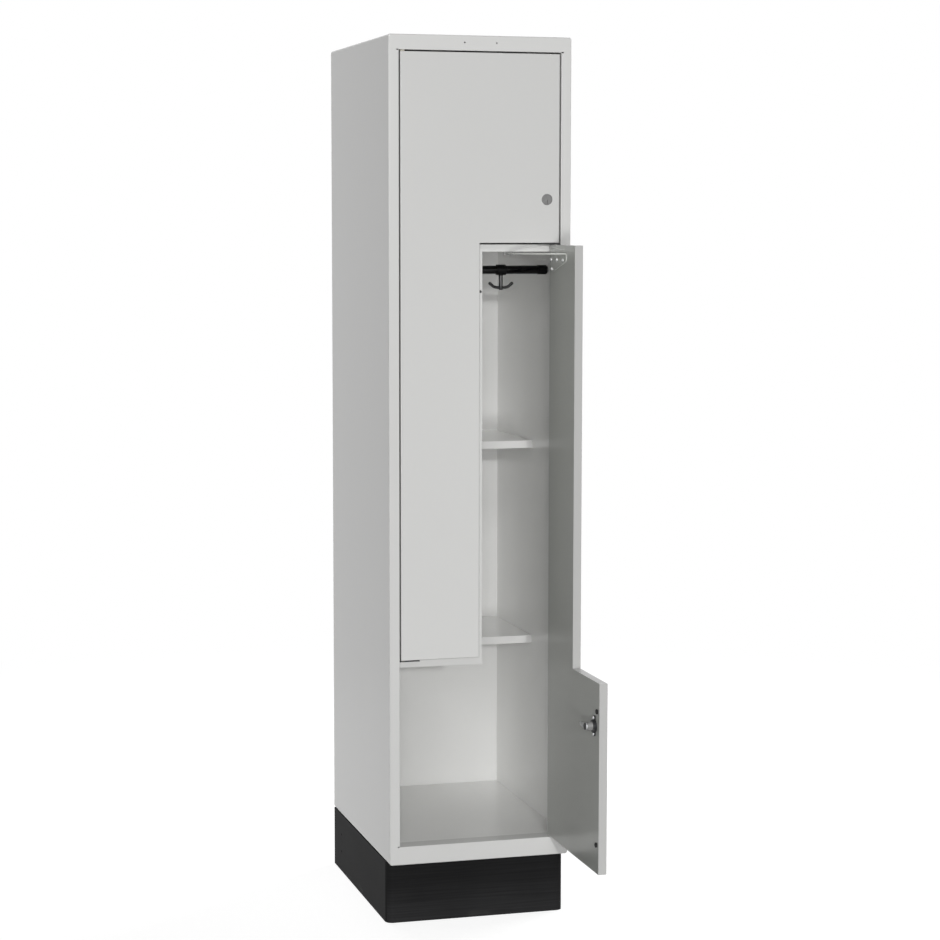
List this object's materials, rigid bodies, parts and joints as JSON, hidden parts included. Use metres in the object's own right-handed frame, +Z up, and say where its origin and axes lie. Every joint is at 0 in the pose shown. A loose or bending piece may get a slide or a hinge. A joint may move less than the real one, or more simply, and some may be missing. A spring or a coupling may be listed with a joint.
{
  "type": "z-locker",
  "caption": "Tall steel Z-locker on a black plinth, with interlocking L-shaped doors on pin hinges, cam locks, shelves and clothes rails with sliding swivel hooks.",
  "frame": {"origin": "centre of the base on the floor, midway between the sides, front and back", "axes": "+Z up, -Y out of the front where the doors are, +X to the right seen from the front"},
  "size_m": [0.4, 0.886, 1.9],
  "materials": {
    "carcass_paint": "light grey semi-gloss powder coat",
    "black_paint": "black satin powder coat",
    "zinc_steel": "bright zinc plate",
    "lock_nickel": "satin nickel plate",
    "dark_metal": "black passivated metal",
    "black_plastic": "black moulded plastic",
    "black_rubber": "black rubber",
    "hinge_nylon": "natural nylon"
  },
  "bodies": {
    "carcass": {"left_side_panel": "carcass_paint", "right_side_panel": "carcass_paint", "top_panel": "carcass_paint", "floor_panel": "carcass_paint", "back_panel": "carcass_paint", "centre_divider": "carcass_paint", "upper_partition": "carcass_paint", "lower_partition": "carcass_paint", "right_middle_shelf": "carcass_paint", "right_low_shelf": "carcass_paint", "left_middle_shelf": "carcass_paint", "left_high_shelf": "carcass_paint", "upper_hinge_plate": "dark_metal", "lower_hinge_plate": "dark_metal", "hinge_pins": "zinc_steel", "upper_stay_guide": "carcass_paint", "lower_stay_guide": "carcass_paint", "divider_buffers": "black_rubber", "upper_clothes_rail": "black_paint", "upper_rail_sockets": "black_plastic", "lower_clothes_rail": "black_paint", "lower_rail_sockets": "black_plastic", "plinth_front_and_sides": "black_paint", "plinth_rear": "black_paint", "plinth_bolts": "zinc_steel", "plinth_nuts": "zinc_steel"},
    "upper_door": {"upper_door_skin": "carcass_paint", "upper_door_liner": "carcass_paint", "upper_door_bushes": "hinge_nylon", "upper_hinge_gusset": "carcass_paint", "upper_gusset_rivets": "zinc_steel", "upper_door_stay": "carcass_paint", "upper_door_buffers": "black_rubber", "upper_lock_barrel": "lock_nickel", "upper_lock_base": "dark_metal", "upper_lock_screws": "zinc_steel"},
    "upper_lock_core": {"upper_lock_plug": "lock_nickel", "upper_lock_cam": "zinc_steel", "upper_cam_screw": "dark_metal"},
    "upper_hook_collar": {"upper_hook_collar": "black_plastic", "upper_hook_pin": "black_plastic"},
    "upper_hook": {"upper_hook": "black_plastic"},
    "lower_door": {"lower_door_skin": "carcass_paint", "lower_door_liner": "carcass_paint", "lower_door_bushes": "hinge_nylon", "lower_hinge_gusset": "carcass_paint", "lower_gusset_rivets": "zinc_steel", "lower_door_stay": "carcass_paint", "lower_door_buffers": "black_rubber", "lower_lock_barrel": "lock_nickel", "lower_lock_base": "dark_metal", "lower_lock_screws": "zinc_steel"},
    "lower_lock_core": {"lower_lock_plug": "lock_nickel", "lower_lock_cam": "zinc_steel", "lower_cam_screw": "dark_metal"},
    "lower_hook_collar": {"lower_hook_collar": "black_plastic", "lower_hook_pin": "black_plastic"},
    "lower_hook": {"lower_hook": "black_plastic"}
  },
  "joints": [
    {"name": "upper_door_hinge", "type": "hinge", "parent": "carcass", "child": "upper_door", "pos_m": [-0.1685, -0.268, 1.2225], "axis": [0, 0, -1], "range_deg": [0, 90]},
    {"name": "lower_door_hinge", "type": "hinge", "parent": "carcass", "child": "lower_door", "pos_m": [0.1685, -0.268, 0.8205], "axis": [0, 0, 1], "range_deg": [-90, 0]},
    {"name": "upper_lock_turn", "type": "hinge", "parent": "upper_door", "child": "upper_lock_core", "pos_m": [0.1465, -0.257, 1.559], "axis": [0, -1, 0], "range_deg": [0, 180]},
    {"name": "lower_lock_turn", "type": "hinge", "parent": "lower_door", "child": "lower_lock_core", "pos_m": [0.1575, -0.583, 0.484], "axis": [1, 0, 0], "range_deg": [0, 180]},
    {"name": "upper_hook_slide", "type": "slide", "parent": "carcass", "child": "upper_hook_collar", "axis": [1, 0, 0], "range_m": [-0.072, 0.25]},
    {"name": "upper_hook_swivel", "type": "hinge", "parent": "upper_hook_collar", "child": "upper_hook", "pos_m": [-0.093, -0.111, 1.8045], "axis": [0, 0, 1], "continuous": true},
    {"name": "lower_hook_slide", "type": "slide", "parent": "carcass", "child": "lower_hook_collar", "axis": [1, 0, 0], "range_m": [-0.068, 0.072]},
    {"name": "lower_hook_swivel", "type": "hinge", "parent": "lower_hook_collar", "child": "lower_hook", "pos_m": [0.093, -0.111, 1.3687], "axis": [0, 0, 1], "continuous": true}
  ]
}
